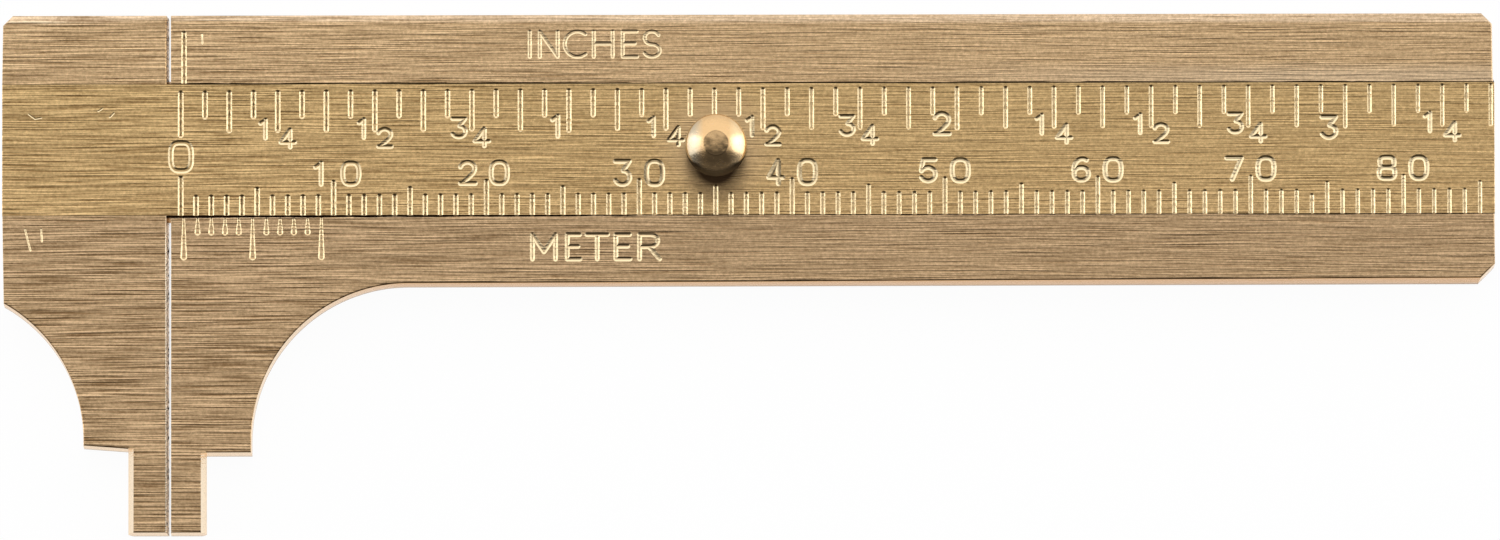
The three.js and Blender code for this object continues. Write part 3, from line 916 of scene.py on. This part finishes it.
def dents(*lines):
    """Small dents of long use, each a pass of its own: a narrow, shallow groove from (x, y) to (x, y)."""
    return [[groove(np.linspace(line[:2], line[2:], 4), 0.13, flank=0.06, steepness=0.5)] for line in lines]


def word_cutters(word, y, stroke, flank, *spans):
    """A word's letters, each set in its own span of the photograph's pixels along X."""
    signs = []
    for sign, span in zip(word, spans):
        x0, x1 = ((pixel - FACE_PIXEL) / PIXELS_PER_MM for pixel in span)
        wide = (x1 - x0 - stroke) / (0.8 if sign == "M" else 0.68)
        signs.append(sign_cutters(sign, (x0 + x1) / 2, y, LETTER_HEIGHT, wide, stroke, flank))
    return merge_passes(signs)


def scale_cutters(sizes, marks):
    """The bar's marks: millimetres along its lower edge and sixteenths of an inch along its upper edge."""
    half = sizes.bar_width / 2
    end = LENGTH - marks.scale_zero
    solids = []
    # One division, how many of them make the larger and the smaller groups, and how tall the marks are: the
    # zero, the first of each larger and of each smaller group, and the rest.
    lower = marks.millimetre, 10, 5, (2.62, 2.3, 1.86, 1.36)
    upper = marks.sixteenth, 16, 2, (3.15, 2.95, 2.85, 1.95)
    struck_short, missing = 74, 0.3
    upper_margin, last_metal = 0.38, LENGTH - 0.05
    for step, larger, smaller, talls in (lower, upper):
        for n in range(int(end / step) + 1):
            along = n * step
            x = marks.scale_zero + along
            rise = marks.drift * along
            width = np.interp(along, (0, end), (marks.stroke_left, marks.stroke_right))
            tall = talls[0 if n == 0 else 1 if n % larger == 0 else 2 if n % smaller == 0 else 3]
            if step == marks.sixteenth:
                top = half - upper_margin + rise
                heights = top - width / 2, top - 0.8, top - tall + width / 2
            elif x + width / 2 < last_metal:
                top = tall - half + rise - (missing if n == struck_short else 0)
                heights = top - width / 2, (top - half) / 2, -half - 0.6
            else:
                continue
            solids.append(groove([(x, y) for y in heights], width))
    return solids


def numeral_cutters(marks):
    """The bar's numerals, as passes of cutters that don't touch each other: tens of millimetres below, and
    inches and quarters above, each set a little out of line as it was struck."""
    stroke, fine = marks.numeral_stroke, marks.numeral_stroke * 0.92
    signs = [sign_cutters("zero", marks.scale_zero + 0.02, -0.45, 2.22, 1.72, stroke * 1.08)]
    for ten in range(1, 9):
        along = 10 * ten * marks.millimetre
        x = marks.scale_zero + along + {1: 0.13, 2: -0.16}.get(ten, 0) - 0.03
        taller = 0.12 if ten in (3, 4) else 0
        y = -1.58 + marks.drift * (along - 10) - taller / 2
        left, wide = {1: (0.94, 1.3), 4: (1.05, 1.12)}.get(ten, (1.05, 1.28))
        signs.append(sign_cutters(str(ten), x - left, y, 1.74 + taller, wide, stroke))
        signs.append(sign_cutters("0", x + 1.03, y, 1.76 + taller, 1.36, stroke))
    for n in range(1, 14):
        along = n * 4 * marks.sixteenth
        x = marks.scale_zero + along
        y = 1.33 + marks.drift * 1.2 * along
        if n % 4:
            above, below, left = {1: ("1", "4", 0.83), 2: ("1", "2", 0.74), 3: ("3", "4", 0.83)}[n % 4]
            signs.append(sign_cutters(above, x - left, y, 1.52, 1.15, fine))
            signs.append(sign_cutters(below, x + 0.64, y - 0.62, 1.46, 1.12, fine))
        else:
            left, down = {1: (0.75, 0), 2: (1.0, 0), 3: (1.05, 0.4)}[n // 4]
            signs.append(sign_cutters(str(n // 4), x - left, y + 0.08 - down, 1.68, 1.24, stroke))
    return merge_passes(signs)


# Pieces


def settings(scene):
    """The sizes and the marks as plain numbers, with lengths in millimetres, and the finish."""
    return millimetres(scene.caliper_sizes), millimetres(scene.caliper_marks), scene.caliper_finish


class CALIPER_OT_frame_body(bpy.types.Operator):
    """Frame: beam, channel and fixed jaw in one, with the vernier, index line and words cut in"""

    bl_idname = "caliper.frame_body"
    bl_label = "Frame and fixed jaw"

    def execute(self, context):
        sizes, marks, finish = settings(context.scene)
        rows = frame_outline(sizes)
        shaver = tip_shaver(sizes, 0, 1, sizes.fixed_tip, rows[2][1])
        mesh = new_mesh("frame", plate(rows))
        mesh = cut(mesh, [[shaver], [worn_channel(sizes)], [stop_slot(), spring_pocket()]])
        zero = marks.scale_zero - HEAD_RIGHT
        upper, lower = sizes.bar_width / 2 + sizes.play_top, -sizes.bar_width / 2 - sizes.play_left
        index_y = np.linspace(upper + 0.02, upper + 3.3, 4)
        index = groove(np.column_stack((np.full(4, zero + 0.02), index_y)), 0.35)
        stroke = marks.word_stroke
        # Where each letter begins and ends in the photograph, in pixels.
        inches = (527.5, 532.5), (538, 560), (564, 588), (592, 615), (620, 640), (642, 662.5)
        meter = (530, 558), (564, 583), (585.5, 609), (612.5, 633), (636.5, 661.5)
        passes = [[*vernier_cutters(marks, lower, zero), index]]
        passes += word_cutters("INCHES", 6.9, stroke, 0.09, *inches)
        passes += word_cutters("METER", -6.42, stroke * 1.2, 0.125, *meter)
        mesh = cut(mesh, [*passes, *dents((2.03, 7.62, 2.05, 6.98))], stamp=1)
        brass = brushed_brass("brushed_brass_frame", list(finish.frame_brass), finish, jaw_shade=0.19)
        finish_piece("frame_plate", mesh, brass, "frame", "frame_brass", "frame_body")
        return {"FINISHED"}


class CALIPER_OT_slide_bar(bpy.types.Operator):
    """Scale bar: a dovetail strip with both scales and their numerals cut into its face"""

    bl_idname = "caliper.slide_bar"
    bl_label = "Scale bar"

    def execute(self, context):
        sizes, marks, finish = settings(context.scene)
        edge = sizes.crisp_edge * 0.25
        places = ((HEAD_LEFT, edge), (HEAD_LEFT + edge, 0), (LENGTH - edge, 0), (LENGTH, edge))
        knob_x, knob_y, _ = KNOB_CENTRE
        hole_radius = 0.82
        hole = prism(bow(knob_x, 0, hole_radius, hole_radius, 0, 360, 32)[:-1], 0, FACE + 1)
        mesh = cut(new_mesh("bar", across(bar_section(sizes), places)), [[hole]])
        scars = dents(
            (-9.3, 2.35, -8.9, 2.05),
            (-8.9, 2.05, -8.5, 2.12),
            (-4.75, 2.55, -4.5, 2.72),
            (-4.0, 2.15, -3.75, 2.42),
        )
        mesh = cut(mesh, [scale_cutters(sizes, marks), *numeral_cutters(marks), *scars], stamp=1)
        brass = brushed_brass(
            "brushed_brass_bar",
            list(finish.bar_brass),
            finish,
            grain=0.85,
            dirty_sides=1.0,
            knob_shading_centre=(knob_x, knob_y - 1.1, FACE),
        )
        finish_piece("scale_bar", mesh, brass, "slide", "bar_brass", "slide_bar")
        return {"FINISHED"}


class CALIPER_OT_slide_head(bpy.types.Operator):
    """Head: the block on the bar's end that carries the moving jaw"""

    bl_idname = "caliper.slide_head"
    bl_label = "Head and moving jaw"

    def execute(self, context):
        sizes, _, finish = settings(context.scene)
        rows = head_outline(sizes)
        shaver = tip_shaver(sizes, HEAD_RIGHT, -1, sizes.moving_tip, rows[-1][1])
        ends, half = np.array([HEAD_LEFT - 0.5, HEAD_RIGHT + 0.5]), np.full(2, sizes.bar_width / 2)
        seat = channel_cutter(sizes, BAR_BASE, ends, half, -half)
        mesh = cut(new_mesh("head", plate(rows)), [[shaver], [seat]])
        mesh = cut(mesh, dents((-8.5, -5.2, -8.44, -6.0), (-9.55, -5.2, -9.2, -6.6)), stamp=1)
        brass = brushed_brass("brushed_brass_head", list(finish.frame_brass), finish, jaw_shade=0.19)
        finish_piece("jaw_head", mesh, brass, "slide", "frame_brass", "slide_head")
        return {"FINISHED"}


class CALIPER_OT_thumb_knob(bpy.types.Operator):
    """Thumb knob: a turned ball with a flat top, on a short neck and collar"""

    bl_idname = "caliper.thumb_knob"
    bl_label = "Thumb knob"

    def execute(self, context):
        finish = context.scene.caliper_finish
        radius, top = (KNOB_HIGH[0] - KNOB_LOW[0]) / 2, KNOB_HIGH[2]
        facet, neck, collar, shank = 0.8, 1.1, 1.5, 0.8
        waist = top - math.sqrt(radius**2 - facet**2)
        # The shoulder's slope grows evenly from 26 to 47 degrees; then a quarter of an ellipse rolls
        # over to the waist, and another under it to the neck.
        rim = radius - 0.12
        out = np.linspace(facet, rim, 24)
        slope = np.tan(np.radians(np.linspace(26, 47, 24)))
        fall = np.concatenate(([0], np.cumsum((slope[1:] + slope[:-1]) / 2 * np.diff(out))))
        shoulder = np.column_stack((out, top - fall))
        turn = np.radians(np.linspace(8, 90, 16))
        low = (top - fall[-1] - waist) / math.cos(turn[0])
        side = (radius - rim) / (1 - math.sin(turn[0]))
        roll = np.column_stack((radius - side + side * np.sin(turn), waist + low * np.cos(turn)))[1:]
        under = bow(neck, waist, radius - neck, FACE + 0.6 - waist, 0, 90, 23)[1:]
        foot = [
            (neck, FACE + 0.3),
            (collar - 0.06, FACE + 0.3),
            (collar, FACE + 0.24),
            (collar, FACE + 0.06),
            (collar - 0.06, FACE),
            (shank, FACE),
            (shank, BAR_BASE),
        ]
        profile = np.concatenate(([(0.02, top), (facet - 0.03, top - 0.003)], shoulder, roll, under, foot))
        place = np.array((*KNOB_CENTRE[:2], waist)) + ORIGIN
        brass = polished_brass("polished_brass_knob", list(finish.knob_brass), place, facet, top - waist)
        mesh = new_mesh("knob", lathe(profile[::-1], KNOB_CENTRE))
        finish_piece("ball_knob", mesh, brass, "slide", "knob_brass", "thumb_knob")
        return {"FINISHED"}


class CALIPER_OT_pins(bpy.types.Operator):
    """Pins: two that hold the bar in the head, and the stop pin under the bar"""

    bl_idname = "caliper.pins"
    bl_label = "Pins"

    def execute(self, context):
        finish = context.scene.caliper_finish
        brass = brushed_brass("filed_brass_pin", list(finish.pin_brass), finish, grain=1.2)
        for node in ("head_pin_upper", "head_pin_lower", "stop_pin"):
            low, high = box_of(node, ORIGIN)
            radius, ease = (high[0] - low[0]) / 2, 0.05
            foot = np.array([(radius - ease, low[2]), (radius, low[2] + ease)])
            top = np.array([(radius, high[2] - ease), (radius - ease, high[2])])
            mesh = new_mesh(node, lathe((*foot, *top), (low + high) / 2, 64))
            finish_piece(node + "_turned", mesh, brass, "slide", "pin_brass", node)
        return {"FINISHED"}


class CALIPER_OT_friction_spring(bpy.types.Operator):
    """Friction spring: a thin leaf bowed up against the bar's underside"""

    bl_idname = "caliper.friction_spring"
    bl_label = "Friction spring"

    def execute(self, context):
        finish = context.scene.caliper_finish
        low, high = box_of("friction_spring", ORIGIN)
        thick = 0.15
        share_along = np.linspace(0, 1, 41)
        x = low[0] + (high[0] - low[0]) * share_along
        foot = low[2] + (high[2] - low[2] - thick) * (1 - (2 * share_along - 1) ** 2)
        leaf = [
            [(a, low[1], b), (a, high[1], b), (a, high[1], b + thick), (a, low[1], b + thick)]
            for a, b in zip(x, foot)
        ]
        brass = brushed_brass("rolled_brass_spring", list(finish.spring_brass), finish, grain=0.5)
        mesh = new_mesh("spring", loft(np.array(leaf)))
        finish_piece("leaf_spring", mesh, brass, "frame", "spring_brass", "friction_spring")
        return {"FINISHED"}


class CALIPER_OT_stage(bpy.types.Operator):
    """Stage: white floor, studio lamps, room and camera"""

    bl_idname = "caliper.stage"
    bl_label = "Stage"

    def execute(self, context):
        scene = context.scene
        white = list(scene.caliper_finish.floor_white)
        floor_mesh = bpy.data.meshes.new("floor")
        left, near, far, level = -1.5, -0.14, 1.5, -0.00005
        corners = [(left, near, level), (-left, near, level), (-left, far, level), (left, far, level)]
        floor_mesh.from_pydata(corners, [], [(0, 1, 2, 3)])
        floor_mesh.materials.append(floor_paper("white_paper", white))
        floor = bpy.data.objects.new("floor", floor_mesh)
        scene.collection.objects.link(floor)
        add_lamp("softbox_left", (-0.42, 0.03, 0.1), (0.36, 0.27), 0.54)
        add_lamp("softbox_right", (0.42, 0.03, 0.1), (0.33, 0.25), 0.6)
        add_lamp("fill_left", (-0.3, -0.05, 0.3), (0.2, 0.2), 0.1)
        add_lamp("fill_right", (0.3, -0.05, 0.3), (0.2, 0.2), 0.08)
        add_room(scene, white)
        add_camera(scene)
        scene.view_settings.view_transform = "Standard"
        return {"FINISHED"}


def add_lamp(name, place, size, power):
    """A rectangular soft box at a place, turned to the object, which the camera doesn't see."""
    data = bpy.data.lights.new(name, "AREA")
    data.shape = "RECTANGLE"
    data.size, data.size_y = size
    data.energy = power
    lamp = bpy.data.objects.new(name, data)
    bpy.context.scene.collection.objects.link(lamp)
    lamp.location = place
    lamp.rotation_euler = (-mathutils.Vector(place)).to_track_quat("-Z", "Y").to_euler()
    lamp.visible_camera = False


def add_room(scene, white):
    """A white room: plain white to the camera. For the brass it is bright behind the object and dark in
    front of it, where the camera stands, but for a dim band low down that lights the side walls."""
    scene.world = bpy.data.worlds.new("room")
    scene.world.use_nodes = True
    scene.world.node_tree.nodes.clear()
    add = functools.partial(add_node, scene.world.node_tree)
    _, y, z = add(SPLIT, add("ShaderNodeTexCoord", out="Generated")).node.outputs
    lit, low = add(RANGE, y, -0.3, 0.3, 0.08, 1.34), add(RANGE, z, 0.1, 0.35, 0.22, 0)
    lit = add(MATH, lit, low, operation="MAXIMUM")
    strength = add(RANGE, add("ShaderNodeLightPath", out="Is Camera Ray"), 0, 1, lit, 1.0)
    add("ShaderNodeOutputWorld", add("ShaderNodeBackground", white, strength))


def add_camera(scene):
    """A long lens straight above, tilted a few degrees from the side of the jaws' tips.

    Its distance is the one at which the scale fills the sensor: width / scale times lens / sensor. A
    lens much longer than this one would put the other views' camera beyond its own clipping distance.
    """
    tilt, roll = math.radians(5.0), math.radians(-0.11)
    data = bpy.data.cameras.new("camera")
    data.lens, data.sensor_width = 600, 36
    data.clip_start, data.clip_end = 0.1, 20
    camera = bpy.data.objects.new("camera", data)
    scene.collection.objects.link(camera)
    distance = PHOTO_WIDTH / PIXELS_PER_MM * MM * data.lens / data.sensor_width
    x = (PHOTO_WIDTH / 2 - FACE_PIXEL) / PIXELS_PER_MM
    y = -(PHOTO_HEIGHT / 2 - BAR_PIXEL) / PIXELS_PER_MM / math.cos(tilt)
    aim = (np.array([x, y, FACE]) + ORIGIN) * MM
    camera.location = aim + np.array([0, -math.sin(tilt), math.cos(tilt)]) * distance
    camera.rotation_euler = (tilt, 0, 0)
    camera.rotation_euler.rotate_axis("Z", roll)
    scene.camera = camera


class CALIPER_PT_parts(bpy.types.Panel):
    """The caliper's pieces, sizes and colours"""

    bl_label = "Pocket caliper"
    bl_idname = "CALIPER_PT_parts"
    bl_space_type = "VIEW_3D"
    bl_region_type = "UI"
    bl_category = "Caliper"

    def draw(self, context):
        for operator in OPERATORS:
            self.layout.operator(operator.bl_idname)
        for group in ("caliper_sizes", "caliper_marks", "caliper_finish"):
            box = self.layout.box()
            values = getattr(context.scene, group)
            for name in values.__annotations__:
                box.prop(values, name)


GROUPS = {"caliper_sizes": CaliperSizes, "caliper_marks": CaliperMarks, "caliper_finish": CaliperFinish}
OPERATORS = (
    CALIPER_OT_stage,
    CALIPER_OT_frame_body,
    CALIPER_OT_slide_bar,
    CALIPER_OT_slide_head,
    CALIPER_OT_thumb_knob,
    CALIPER_OT_pins,
    CALIPER_OT_friction_spring,
)


def register():
    for name, group in GROUPS.items():
        bpy.utils.register_class(group)
        setattr(bpy.types.Scene, name, bpy.props.PointerProperty(type=group))
    for kind in (*OPERATORS, CALIPER_PT_parts):
        bpy.utils.register_class(kind)


def unregister():
    for kind in reversed((*OPERATORS, CALIPER_PT_parts)):
        bpy.utils.unregister_class(kind)
    for name, group in GROUPS.items():
        delattr(bpy.types.Scene, name)
        bpy.utils.unregister_class(group)


def main():
    register()
    bpy.ops.caliper.stage()
    bpy.ops.caliper.frame_body()
    bpy.ops.caliper.slide_bar()
    bpy.ops.caliper.slide_head()
    bpy.ops.caliper.thumb_knob()
    bpy.ops.caliper.pins()
    bpy.ops.caliper.friction_spring()


if __name__ == "__main__":
    main()
